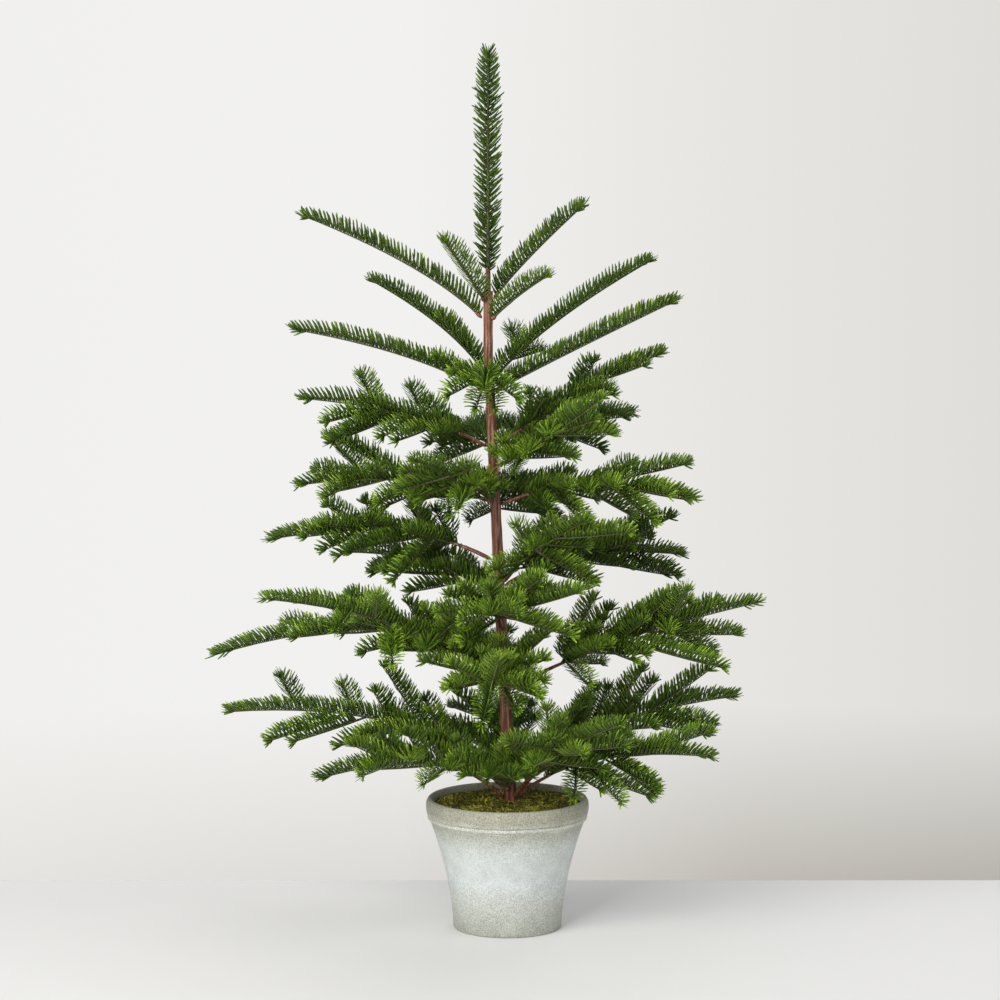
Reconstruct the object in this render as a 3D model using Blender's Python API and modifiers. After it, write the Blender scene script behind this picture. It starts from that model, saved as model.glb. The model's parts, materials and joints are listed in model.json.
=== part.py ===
"""A bushy artificial fir, 0.91 m tall, in a round cement pot.

A tape-wrapped wire trunk stands in a cement block under a bed of moss. Seven tiers of bendable
branches leave it, and each branch is hinged by its root against the trunk. Metres, +Z up; the
origin is the middle of the pot's flat base and the front of the tree faces -Y.
"""

import math

import bmesh
import bpy
from mathutils import Vector

MM = 0.001
TREE_HEIGHT = 0.914
TOUCH_GAP = 0.0003
MERGE_DISTANCE = 0.00002
SHARP_ANGLE = 35

# Pot, turned about the Z axis
POT_SIDES = 36
POT_HEIGHT = 0.137
POT_BASE_RADIUS = 0.0565
POT_SHOULDER_RADIUS = 0.0808
POT_FLARE = 1.7
POT_FLOOR = 0.014
POT_WALL = 0.0058
BEAD_RADIUS = 0.0025
RIM_RADIUS = 0.0848
RIM_HEIGHT = 0.0175
RIM_BULGE = 0.0013

# Filling of the pot. The crown's points are (share of its radius, share of its rise)
MOSS_DEPTH_BELOW_RIM = 0.0046
MOSS_THICKNESS = 0.010
MOSS_DOME = 0.002
MOSS_CROWN = [(0, 1), (0.35, 0.93), (0.65, 0.73), (0.87, 0.47)]
FILL_CLEARANCE = 0.0006

# Trunk: a wire core in a sleeve of wound tape, leaning to -X above the moss
TRUNK_RESOLUTION = 3
TRUNK_BASE_X = 0.003
TRUNK_TOP_X = -0.020
TRUNK_FOOT_HEIGHT = 0.030
LEAN_START_HEIGHT = POT_HEIGHT - 0.002
LEAN_END_HEIGHT = POT_HEIGHT + 0.463
TRUNK_TOP_HEIGHT = POT_HEIGHT + 0.527
TRUNK_BASE_RADIUS = 0.0066
TRUNK_TOP_RADIUS = 0.0050
TAPE_THICKNESS = 0.0012
TRUNK_HOLE_SIDES = 24
BORE_OVERRUN = 0.010

# Leader, the upright top shoot
LEADER_SIDES = 10
LEADER_STEM_RADIUS = 0.0030
LEADER_NEEDLE_RADIUS = 0.0135
LEADER_BARE_LENGTH = 0.022
LEADER_TIP_DROP = 0.002

# Branch stems. The root's rounding is (distance from the pivot, width), in stem radii
STEM_RADIUS = 0.0026
STEM_ROUNDING = [(-0.97, 0.25), (-0.7, 0.72), (0.0, 1.0)]
STEM_SPINE_STEPS = 3
STEM_RESOLUTION = 1
TANGENT_STEP = 0.005
BEND_POINT = 0.4
MOULDED_BARE_LENGTH = 0.012

# Needle sprays: a wedge of needles that stand up along both sides of a thin spine
NEEDLE_HALF_WIDTH = 0.0125
NEEDLE_HEIGHT = 0.0135
SPINE_DEPTH = 0.0020
TIP_WIDTH_SHARE = 0.30
TAPER_WIDTH_SHARE = 0.85
NEEDLE_RAMP = 0.016
TIP_LENGTH = 0.022
SIDE_SHOOT_OVERLAP = 0.003

# Each branch: (azimuth, root height, starting slope, reach from the trunk, tip height, bare
# stem length, side shoots), in degrees and millimetres. Azimuth is counted from +X towards +Y,
# and both heights from the top of the pot.
# Each side shoot: (share along the branch, turn, length, slope). One tier after another, from
# the top: a bare length of None marks a branch moulded in one piece with its stem.
BRANCHES = {
    "7_left": (180, 501, 44, 200, 608, None, []),
    "7_front_left": (-121, 518, 40, 95, 589, None, []),
    "7_right": (18, 521, 52, 112, 621, None, []),
    "7_front_right": (-52, 499, 35, 107, 550, None, []),
    "6_back_left": (149, 446, 50, 155, 539, None, [(0.15, 15, 60, 50)]),
    "6_left": (-173, 426, 30, 212, 491, None, [(0.12, 35, 55, 33)]),
    "6_back_right": (27, 439, 45, 200, 559, None, [(0.15, 30, 62, 6), (0.22, 75, 60, 22)]),
    "6_right": (-14, 426, 28, 205, 525, None, []),
    "6_front": (-92, 430, 35, 150, 433, None, []),
    "5_left": (
        -174, 368, 30, 207, 419, 30,
        [(0.62, -70, 62, 36), (0.36, -70, 62, 36), (0.63, 32, 70, -10), (0.3, 40, 70, -12)],
    ),
    "5_right": (
        9, 368, 40, 190, 466, 30,
        [(0.5, 28, 55, 50), (0.45, -35, 65, 10), (0.7, -30, 50, 20)],
    ),
    "5_front": (
        -50, 348, 20, 178, 433, 25,
        [(0.35, -70, 65, -10), (0.3, 25, 62, -3), (0.45, 60, 60, 40)],
    ),
    "5_back_right": (
        42, 360, 25, 212, 388, 30,
        [(0.45, 40, 75, -5), (0.3, 60, 75, -10), (0.6, -35, 60, 3)],
    ),
    "5_back_left": (112, 366, 25, 150, 355, None, [(0.4, 40, 60, 5), (0.5, -40, 55, 3)]),
    "4_left": (
        -166, 311, 25, 216, 331, 35,
        [(0.45, -40, 100, 25), (0.4, 40, 80, -12), (0.7, 35, 60, -15), (0.7, -30, 55, 10)],
    ),
    "4_front_left": (-122, 311, 30, 165, 368, None, [(0.4, 48, 65, 3), (0.5, -42, 62, 8)]),
    "4_right": (
        -12, 308, 25, 218, 315, 30,
        [(0.42, 25, 130, 10), (0.45, -70, 60, 0), (0.7, -30, 55, -5)],
    ),
    "4_back": (80, 300, 25, 170, 313, None, [(0.35, 48, 75, 0), (0.45, -45, 75, 3)]),
    "3_left": (
        172, 250, 28, 250, 264, 45,
        [(0.62, -30, 62, 25), (0.4, 40, 85, -10), (0.45, -40, 80, 5), (0.68, 30, 55, -5)],
    ),
    "3_back_left": (140, 213, 25, 225, 238, None, [(0.5, 35, 65, -12), (0.4, -42, 70, 5)]),
    "3_front": (-55, 228, 40, 165, 309, 25, [(0.3, -65, 75, -2), (0.45, 45, 60, 10)]),
    "3_back_right": (
        30, 223, 25, 235, 238, 35,
        [(0.5, -20, 90, 30), (0.45, 35, 80, 5), (0.38, -42, 75, -5)],
    ),
    "3_front_right": (
        -94, 181, 28, 170, 215, 30,
        [(0.5, -55, 75, 5), (0.4, 58, 115, 17), (0.7, 35, 55, 5)],
    ),
    "2_left": (
        176, 125, 45, 315, 142, 70,
        [(0.35, 30, 75, -10), (0.4, -35, 80, 5), (0.6, 30, 70, -3), (0.65, -30, 70, 3)],
    ),
    "2_front_left": (
        -145, 125, 40, 300, 234, 60,
        [(0.62, -25, 80, 15), (0.4, -45, 80, 10), (0.7, 40, 55, -15), (0.45, 38, 75, -5)],
    ),
    "2_front": (-98, 118, 40, 175, 98, 30, [(0.4, -60, 90, 15), (0.45, 52, 80, 5)]),
    "2_right": (
        -4, 116, 30, 274, 210, 70,
        [(0.5, -25, 125, -10), (0.6, 25, 110, -5), (0.65, -80, 50, 0), (0.38, 42, 85, 10)],
    ),
    "2_back": (115, 123, 30, 185, 113, None, [(0.35, 47, 75, 5), (0.45, -45, 85, 3)]),
    "1_left_up": (
        172, 12, 48, 312, 81, 50,
        [(0.78, -50, 60, 35), (0.61, -60, 60, 30), (0.58, 38, 95, -12), (0.4, 40, 75, 2)],
    ),
    "1_left_low": (
        -150, 1, 38, 235, 39, 40,
        [(0.45, -32, 85, -4), (0.4, 42, 75, -5), (0.68, 30, 60, -3)],
    ),
    "1_right": (
        16, 5, 50, 262, 95, 50,
        [(0.6, -35, 90, -8), (0.55, 30, 75, 35), (0.4, 50, 85, 35), (0.72, 28, 60, 8)],
    ),
    "1_right_low": (
        -20, 2, 42, 230, 56, 45,
        [(0.52, -30, 90, -14), (0.42, -45, 95, -18), (0.38, -75, 60, -30), (0.6, 30, 65, 3)],
    ),
    "1_front_right": (
        -56, 3, 45, 208, 110, 35,
        [(0.35, -20, 105, 40), (0.55, 32, 75, 8), (0.42, -52, 75, 5)],
    ),
    "1_front": (-104, 9, 50, 110, 35, None, [(0.5, -45, 50, 5), (0.6, 48, 45, 3)]),
    "1_back": (98, 15, 45, 200, 85, None, [(0.35, 47, 75, 0), (0.45, -45, 75, 3)]),
}


def clear_scene():
    for old in list(bpy.data.objects):
        bpy.data.objects.remove(old)


def new_collection(name):
    collection = bpy.data.collections.new(name)
    bpy.context.scene.collection.children.link(collection)
    return collection


def new_material(name, colour, roughness, metallic=0.0):
    material = bpy.data.materials.new(name)
    material.use_nodes = True
    shader = material.node_tree.nodes["Principled BSDF"]
    shader.inputs["Base Color"].default_value = (*colour, 1.0)
    shader.inputs["Roughness"].default_value = roughness
    shader.inputs["Metallic"].default_value = metallic
    return material


def add_object(name, data, collection, material=None, place=(0, 0, 0)):
    made = bpy.data.objects.new(name, data)
    made.location = place
    if material:
        data.materials.append(material)
    collection.objects.link(made)
    return made


def smooth(mesh):
    mesh.shade_smooth()
    mesh.set_sharp_from_angle(angle=math.radians(SHARP_ANGLE))


def turned(name, outline, sides, material, place=(0, 0, 0)):
    """A solid turned about Z from (radius, height) points, which run down its outer side."""
    mesh = bpy.data.meshes.new(name)
    points = [(radius, 0, height) for radius, height in outline]
    mesh.from_pydata(points, [(i, i + 1) for i in range(len(points) - 1)], [])
    made = add_object(name, mesh, PARTS, material, place)
    screw = made.modifiers.new("Turn", "SCREW")
    screw.steps = sides
    screw.render_steps = sides
    screw.use_merge_vertices = True
    screw.merge_threshold = MERGE_DISTANCE
    screw.use_smooth_shade = True
    return made


def arc(centre, radius, start, end, steps):
    """Points on an arc from one angle to another, in degrees."""
    angles = [math.radians(start + (end - start) * i / steps) for i in range(steps + 1)]
    return [(centre[0] + radius * math.cos(a), centre[1] + radius * math.sin(a)) for a in angles]


# Pot and its filling


def rim_bottom():
    return POT_HEIGHT - RIM_HEIGHT


def wall_top():
    """Height where the flared wall ends under the bead."""
    return rim_bottom() - 2 * BEAD_RADIUS


def lip_height():
    return POT_HEIGHT - POT_WALL / 2


def pot_radius(height):
    """Outer radius of the flared wall below the bead."""
    return POT_BASE_RADIUS + (POT_SHOULDER_RADIUS - POT_BASE_RADIUS) * (height / wall_top()) ** POT_FLARE


def pot_inner_radius(height):
    """Radius of the cavity, which follows the wall and then opens to the mouth."""
    if height <= wall_top():
        return pot_radius(height) - POT_WALL
    mouth = RIM_RADIUS - RIM_BULGE - POT_WALL
    shoulder = POT_SHOULDER_RADIUS - POT_WALL
    share = (height - wall_top()) / (lip_height() - wall_top())
    return shoulder + (mouth - shoulder) * share


def moss_top():
    return POT_HEIGHT - MOSS_DEPTH_BELOW_RIM


def moss_bottom():
    return moss_top() - MOSS_THICKNESS


def make_pot(material):
    outline = [(0, POT_FLOOR)]
    inner_heights = [POT_FLOOR + (wall_top() - POT_FLOOR) * i / 3 for i in range(4)]
    outline += [(pot_inner_radius(height), height) for height in inner_heights]
    lip_radius = POT_WALL / 2
    outline += arc((RIM_RADIUS - RIM_BULGE - lip_radius, lip_height()), lip_radius, 180, 0, 4)
    outline += [(RIM_RADIUS, POT_HEIGHT - RIM_HEIGHT / 2), (RIM_RADIUS - RIM_BULGE, rim_bottom())]
    outline += arc((POT_SHOULDER_RADIUS, rim_bottom() - BEAD_RADIUS), BEAD_RADIUS, 70, -70, 3)
    outline += [(pot_radius(wall_top() * i / 4), wall_top() * i / 4) for i in (3, 2, 1)]
    outline += [(POT_BASE_RADIUS, 0), (0, 0)]
    return turned("pot", outline, POT_SIDES, material)


def fill_point(height):
    return (pot_inner_radius(height) - FILL_CLEARANCE, height)


def make_cement_block(material, trunk_hole):
    bottom = POT_FLOOR + TOUCH_GAP
    top = moss_bottom() - TOUCH_GAP
    outline = [(0, top)] + [fill_point(top + (bottom - top) * i / 3) for i in range(4)]
    block = turned("cement_block", outline + [(0, bottom)], POT_SIDES, material)
    cut(block, trunk_hole)


def make_moss(material, trunk_hole):
    """A domed bed that ends at the pot's wall."""
    edge = fill_point(moss_top())
    outline = [(edge[0] * share, edge[1] + MOSS_DOME * level) for share, level in MOSS_CROWN]
    outline += [edge, fill_point(moss_bottom()), (0, moss_bottom())]
    bed = turned("moss", outline, POT_SIDES, material)
    cut(bed, trunk_hole)


def make_trunk_hole():
    """A cutter round the foot of the trunk, up through the cement and the moss."""
    top = LEAN_START_HEIGHT
    bottom = TRUNK_FOOT_HEIGHT - TOUCH_GAP
    bpy.ops.mesh.primitive_cylinder_add(
        vertices=TRUNK_HOLE_SIDES,
        radius=TRUNK_BASE_RADIUS + FILL_CLEARANCE,
        depth=top - bottom,
        location=(TRUNK_BASE_X, 0, (top + bottom) / 2),
    )
    return as_cutter(bpy.context.object, "trunk_hole")


def as_cutter(cutter, name):
    for owner in cutter.users_collection:
        owner.objects.unlink(cutter)
    HELPERS.objects.link(cutter)
    cutter.name = name
    cutter.hide_render = True
    cutter.display_type = "WIRE"
    return cutter


def cut(target, cutter, operation="DIFFERENCE"):
    boolean = target.modifiers.new(cutter.name, "BOOLEAN")
    boolean.operation = operation
    boolean.solver = "EXACT"
    boolean.object = cutter


# Trunk and leader


def trunk_share(height):
    share = (height - LEAN_START_HEIGHT) / (LEAN_END_HEIGHT - LEAN_START_HEIGHT)
    return min(max(share, 0.0), 1.0)


def trunk_x(height):
    return TRUNK_BASE_X + (TRUNK_TOP_X - TRUNK_BASE_X) * trunk_share(height)


def trunk_radius(height):
    return TRUNK_BASE_RADIUS + (TRUNK_TOP_RADIUS - TRUNK_BASE_RADIUS) * trunk_share(height)


def rod(name, places, radii, resolution, caps=True):
    """A straight-segment tube through the places, as thick at each as its radius."""
    curve = bpy.data.curves.new(name, "CURVE")
    curve.dimensions = "3D"
    curve.bevel_depth = 1.0
    curve.bevel_resolution = resolution
    curve.use_fill_caps = caps
    spline = curve.splines.new("POLY")
    spline.points.add(len(places) - 1)
    for point, place, radius in zip(spline.points, places, radii):
        point.co = (*place, 1.0)
        point.radius = radius
    return curve


def mesh_of(curve, collection):
    """The curve's tube as a mesh with its caps joined on."""
    source = add_object(curve.name, curve, collection)
    bpy.context.view_layer.update()
    graph = bpy.context.evaluated_depsgraph_get()
    mesh = bpy.data.meshes.new_from_object(source.evaluated_get(graph))
    bpy.data.objects.remove(source)
    edit = bmesh.new()
    edit.from_mesh(mesh)
    bmesh.ops.remove_doubles(edit, verts=edit.verts, dist=MERGE_DISTANCE)
    bmesh.ops.recalc_face_normals(edit, faces=edit.faces)
    edit.to_mesh(mesh)
    edit.free()
    smooth(mesh)
    return mesh


def trunk_places():
    heights = (TRUNK_FOOT_HEIGHT, LEAN_START_HEIGHT, LEAN_END_HEIGHT, TRUNK_TOP_HEIGHT)
    return [(trunk_x(height), 0, height) for height in heights]


def make_trunk(wire, tape):
    """The core stays inside the sleeve, whose wound tape is one wall thick."""
    places = trunk_places()
    outer = [trunk_radius(place[2]) for place in places]
    bore = [radius - TAPE_THICKNESS for radius in outer]
    core = [radius - TOUCH_GAP for radius in bore]
    core_mesh = mesh_of(rod("trunk_core", places, core, TRUNK_RESOLUTION), PARTS)
    add_object("trunk_core", core_mesh, PARTS, wire)
    sleeve_mesh = mesh_of(rod("trunk_tape", places, outer, TRUNK_RESOLUTION), PARTS)
    sleeve = add_object("trunk_tape", sleeve_mesh, PARTS, tape)
    ends = [(places[0][0], 0, places[0][2] - BORE_OVERRUN), *places[1:-1]]
    ends.append((places[-1][0], 0, places[-1][2] + BORE_OVERRUN))
    bore_mesh = mesh_of(rod("trunk_bore", ends, bore, TRUNK_RESOLUTION), PARTS)
    cut(sleeve, as_cutter(add_object("trunk_bore", bore_mesh, HELPERS), "trunk_bore"))


def make_leader(material):
    foot = TRUNK_TOP_HEIGHT + TOUCH_GAP
    needles = foot + LEADER_BARE_LENGTH
    outline = [
        (0, TREE_HEIGHT),
        (LEADER_NEEDLE_RADIUS * TIP_WIDTH_SHARE, TREE_HEIGHT - LEADER_TIP_DROP),
        (LEADER_NEEDLE_RADIUS * TAPER_WIDTH_SHARE, TREE_HEIGHT - TIP_LENGTH),
        (LEADER_NEEDLE_RADIUS, needles + 2 * NEEDLE_RAMP),
        (LEADER_NEEDLE_RADIUS * TAPER_WIDTH_SHARE, needles + NEEDLE_RAMP / 2),
        (LEADER_STEM_RADIUS, needles),
        (LEADER_STEM_RADIUS, foot),
        (0, foot),
    ]
    turned("leader", outline, LEADER_SIDES, material, (trunk_x(foot), 0, 0))


# Branches


def direction(azimuth, slope):
    azimuth = math.radians(azimuth)
    slope = math.radians(slope)
    flat = math.cos(slope)
    return Vector((flat * math.cos(azimuth), flat * math.sin(azimuth), math.sin(slope)))


def branch_root(azimuth, height):
    """The pivot: a stem's rounded end sits against the trunk's tape here."""
    out = trunk_radius(height) + TOUCH_GAP + STEM_RADIUS
    return Vector((trunk_x(height), 0, height)) + out * direction(azimuth, 0)


def branch_spine(azimuth, height, slope, reach, tip_height):
    """The branch's line from its pivot, as a function of the share along it."""
    root = branch_root(azimuth, height)
    bend = direction(azimuth, slope) * (BEND_POINT * reach)
    tip = Vector((trunk_x(height), 0, tip_height)) + reach * direction(azimuth, 0) - root

    def place(share):
        return 2 * share * (1 - share) * bend + share**2 * tip

    return place


def share_at(place, distance):
    """The share along the spine where its length reaches a distance."""
    steps = 200
    done = 0.0
    for step in range(steps):
        piece = (place((step + 1) / steps) - place(step / steps)).length
        if done + piece >= distance:
            return (step + (distance - done) / piece) / steps
        done += piece
    return 1.0


def make_stem(name, places, material, at):
    """A round wire whose root end is rounded about the pivot."""
    along = (places[1] - places[0]).normalized()
    points = [places[0] + along * (STEM_RADIUS * back) for back, _ in STEM_ROUNDING]
    radii = [STEM_RADIUS * width for _, width in STEM_ROUNDING]
    points += places[1:]
    radii += [STEM_RADIUS] * (len(places) - 1)
    mesh = mesh_of(rod(name, points, radii, STEM_RESOLUTION), PARTS)
    return add_object(name, mesh, PARTS, material, at)


def needle_section(centre, along, width):
    """One outline of a spray: its foot is the spine and its corners are the needles' ends."""
    side = Vector((0, 0, 1)).cross(along).normalized()
    up = along.cross(side)
    half = NEEDLE_HALF_WIDTH * width
    high = NEEDLE_HEIGHT * width
    outline = [(0, -SPINE_DEPTH), (half, high), (-half, high)]
    return [centre + side * across + up * lift for across, lift in outline]


def make_needle_mesh(name, sections):
    """A loft through the trough outlines, closed at both ends."""
    edit = bmesh.new()
    rings = [[edit.verts.new(point) for point in section] for section in sections]
    count = len(rings[0])
    for lower, upper in zip(rings, rings[1:]):
        for i in range(count):
            j = (i + 1) % count
            edit.faces.new((lower[i], lower[j], upper[j], upper[i]))
    edit.faces.new(rings[0][::-1])
    edit.faces.new(rings[-1])
    bmesh.ops.triangulate(edit, faces=edit.faces)
    bmesh.ops.recalc_face_normals(edit, faces=edit.faces)
    mesh = bpy.data.meshes.new(name)
    edit.to_mesh(mesh)
    edit.free()
    return mesh


def shoot_sections(place, start, end, middles):
    """Outlines of one shoot between two shares of its line, from its first needles to its tip."""
    length = (place(end) - place(start)).length
    ramp = start + (end - start) * NEEDLE_RAMP / length
    taper = end - (end - start) * TIP_LENGTH / length
    stations = [(start, TIP_WIDTH_SHARE), (ramp, 1.0)]
    stations += [(ramp + (taper - ramp) * (i + 1) / (middles + 1), 1.0) for i in range(middles)]
    stations += [(taper, TAPER_WIDTH_SHARE), (end, TIP_WIDTH_SHARE)]
    sections = []
    for share, width in stations:
        along = (place(share + TANGENT_STEP) - place(share - TANGENT_STEP)).normalized()
        sections.append(needle_section(place(share), along, width))
    return sections


def side_shoot_line(place, azimuth, share, turn, length, slope):
    """The straight line of a side shoot, which starts a little before the main one's spine."""
    heading = direction(azimuth + turn, slope)
    start = place(share) - heading * SIDE_SHOOT_OVERLAP
    return lambda along: start + heading * (length * MM * along)


def add_side_shoots(spray, name, place, azimuth, shoots, at):
    for number, (share, turn, length, slope) in enumerate(shoots, 1):
        line = side_shoot_line(place, azimuth, share, turn, length, slope)
        shoot_name = f"{name}_side_{number}"
        mesh = make_needle_mesh(shoot_name, shoot_sections(line, 0.0, 1.0, 0))
        shoot = add_object(shoot_name, mesh, HELPERS, place=at)
        cut(spray, as_cutter(shoot, shoot_name), "UNION")


def make_branch(name, spec, tape, needles):
    azimuth, root, slope, reach, tip, bare, shoots = spec
    root_height = POT_HEIGHT + root * MM
    place = branch_spine(azimuth, root_height, slope, reach * MM, POT_HEIGHT + tip * MM)
    at = branch_root(azimuth, root_height)
    one_piece = bare is None
    bare_length = MOULDED_BARE_LENGTH if one_piece else bare * MM
    bare_share = share_at(place, bare_length)
    spray_share = bare_share if one_piece else share_at(place, bare_length + TOUCH_GAP)
    steps = 1 if one_piece else STEM_SPINE_STEPS
    stem_shares = [bare_share * i / steps for i in range(steps)]
    stem_shares += [bare_share - TANGENT_STEP, bare_share]
    stem_places = [place(share) for share in stem_shares]
    sections = shoot_sections(place, spray_share, 1.0, 1)
    if one_piece:
        stub = make_stem(f"{name}_root", [*stem_places, place(bare_share * 2)], tape, at)
        spray_name = f"branch_{name}"
    else:
        make_stem(f"branch_{name}_stem", stem_places, tape, at)
        spray_name = f"branch_{name}_needles"
    mesh = make_needle_mesh(spray_name, sections)
    spray = add_object(spray_name, mesh, PARTS, needles, at)
    if one_piece:
        cut(spray, as_cutter(stub, stub.name), "UNION")
    add_side_shoots(spray, name, place, azimuth, shoots, at)


def main():
    cement = new_material("pot_cement", (0.55, 0.56, 0.54), 0.85)
    block = new_material("block_cement", (0.45, 0.44, 0.42), 0.9)
    moss = new_material("moss", (0.13, 0.12, 0.03), 0.95)
    wire = new_material("wire", (0.35, 0.34, 0.32), 0.45, 1.0)
    tape = new_material("brown_tape", (0.17, 0.08, 0.05), 0.5)
    needles = new_material("needles", (0.06, 0.14, 0.035), 0.55)
    trunk_hole = make_trunk_hole()
    make_pot(cement)
    make_cement_block(block, trunk_hole)
    make_moss(moss, trunk_hole)
    make_trunk(wire, tape)
    make_leader(needles)
    for name, spec in BRANCHES.items():
        make_branch(name, spec, tape, needles)


clear_scene()
PARTS = new_collection("tabletop_tree")
HELPERS = new_collection("cutters")
main()
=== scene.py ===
"""The looks of a bushy artificial fir in a cement pot: needles, taped stems, moss and cement."""

import json
import math

import bpy
import numpy as np
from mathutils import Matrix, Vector


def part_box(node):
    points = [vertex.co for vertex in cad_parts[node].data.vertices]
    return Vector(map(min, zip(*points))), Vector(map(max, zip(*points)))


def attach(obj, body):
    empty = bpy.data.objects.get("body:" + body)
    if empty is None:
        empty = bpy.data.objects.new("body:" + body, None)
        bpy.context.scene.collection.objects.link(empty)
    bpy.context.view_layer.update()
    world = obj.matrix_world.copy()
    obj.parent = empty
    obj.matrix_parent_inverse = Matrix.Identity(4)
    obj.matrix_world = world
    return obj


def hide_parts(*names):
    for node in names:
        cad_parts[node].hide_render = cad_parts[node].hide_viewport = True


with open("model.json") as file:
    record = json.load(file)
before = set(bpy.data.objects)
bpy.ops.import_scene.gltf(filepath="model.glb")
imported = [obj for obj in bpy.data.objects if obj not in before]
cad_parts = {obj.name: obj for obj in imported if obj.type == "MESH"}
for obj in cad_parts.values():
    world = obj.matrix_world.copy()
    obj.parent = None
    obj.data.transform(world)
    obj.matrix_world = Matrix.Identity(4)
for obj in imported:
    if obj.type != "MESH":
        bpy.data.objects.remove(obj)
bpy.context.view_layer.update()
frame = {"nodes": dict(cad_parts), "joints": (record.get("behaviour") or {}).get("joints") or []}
MM = 0.001
UP = np.array([0.0, 0.0, 1.0])

# A line counts as upright when the sideways part of its direction is below this
LEAST_SIDEWAYS = 0.05

# The tree's own sizes, in metres, as the CAD model has them
POT_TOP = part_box("pot")[1][2]
TRUNK_BASE_RADIUS = 0.0066
TRUNK_TOP_RADIUS = 0.0050
LEAN_START_HEIGHT = POT_TOP - 0.002
LEAN_END_HEIGHT = POT_TOP + 0.463
STEM_RADIUS = 0.0026
BEND_POINT = 0.4
MOULDED_NEEDLE_START = 0.003

# The pot's outline, as the CAD model has it
POT_BASE_RADIUS = 0.0565
POT_SHOULDER_RADIUS = 0.0808
POT_FLARE = 1.7
POT_FLOOR = 0.014
POT_WALL = 0.0058
RIM_RADIUS = 0.0848
RIM_BULGE = 0.0013
RIM_HEIGHT = 0.0175
BEAD_RADIUS = 0.0025

POT_SIDES = 180

# Needles, in metres
NEEDLE_LENGTH = 0.0195
NEEDLE_WIDTH = 0.0018
NEEDLE_THICKNESS = 0.0008
NEEDLE_SPACING = 0.0042
SHOOT_END_INSET = 0.009
SPINE_RADIUS = 0.0011
STEM_SIDES = 12
STEM_STEPS = 14
LEADER_NEEDLE_STEP = 0.00050
LEADER_NEEDLE_LENGTH = 0.0172
LEADER_BARE_LENGTH = 0.020
LEADER_TIP_DROP = 0.009

# The rows of needles along a shoot: side, lift in degrees, stagger and share of the full length
NEEDLE_ROWS = [
    (side, lift, stagger, share)
    for side in (-1, 1)
    for lift, stagger, share in ((22, 0.0, 0.96), (44, 0.5, 1.0), (72, 0.0, 0.96))
]

# How the needles lean towards the tip, in degrees, and how unlike each other they are
NEEDLE_LEAN = 9.0
TIP_LEAN = 26
LIFT_SPREAD = 2.5
LEAN_SPREAD = 2.2
PLACE_SPREAD = 0.07
LENGTH_SPREAD = 0.05
TINT_SPREAD = 0.24
TIP_NEEDLES = 18

# The small shoots that fill a branch: where the last starts, their spacing as shares of the
# branch, their turns in degrees and their lengths in millimetres
FILLER_END = 0.66
FILLER_SPACING = 0.125
FILLER_TURNS = (36, 62)
FILLER_LENGTHS = (52, 76)
UPRIGHT_SLOPES = (45, 65)

# Moss
MOSS_RINGS = 90
MOSS_SIDES = 200
MOSS_STRANDS = 9000
STRAND_LENGTHS = (0.0020, 0.0046)

# Camera and stage
CAMERA_DISTANCE = 3.5
CAMERA_HEIGHT = 0.85
AIM_HEIGHT = 0.4484
AIM_X = -0.0077
LENS = 122.9
TABLE_BACK = 0.211
TABLE_WIDTH = 9.0
WALL_RADIUS = 6.5
WALL_SIDES = 64

# Each light: name, place, aim, size, power in watts and colour
LIGHTS = [
    ("key", (-1.6, -2.3, 2.0), (0, 0, 0.5), (2.4, 2.4), 94, (1.0, 0.985, 0.96)),
    ("front_fill", (0.8, -3.4, 1.4), (0, 0, 0.5), (2.4, 1.8), 14, (0.96, 0.98, 1.0)),
    ("front_strip", (-1.1, -2.7, 0.7), (0, 0, 0.5), (0.25, 1.4), 9, (1.0, 1.0, 1.0)),
    ("right_fill", (2.8, -0.8, 1.2), (0, 0, 0.3), (2.0, 2.0), 16, (0.98, 0.98, 1.0)),
    ("top_fill", (0.5, 0.4, 3.2), (0.3, 0, 0), (3.0, 3.0), 20, (1.0, 1.0, 1.0)),
    ("back_fill", (0.9, 2.8, 2.0), (0, 0, 0.5), (1.8, 1.8), 18, (1.0, 1.0, 1.0)),
]
ROOM_COLOUR = (0.97, 0.985, 1.0, 1.0)
ROOM_STRENGTH = 0.29

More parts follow.
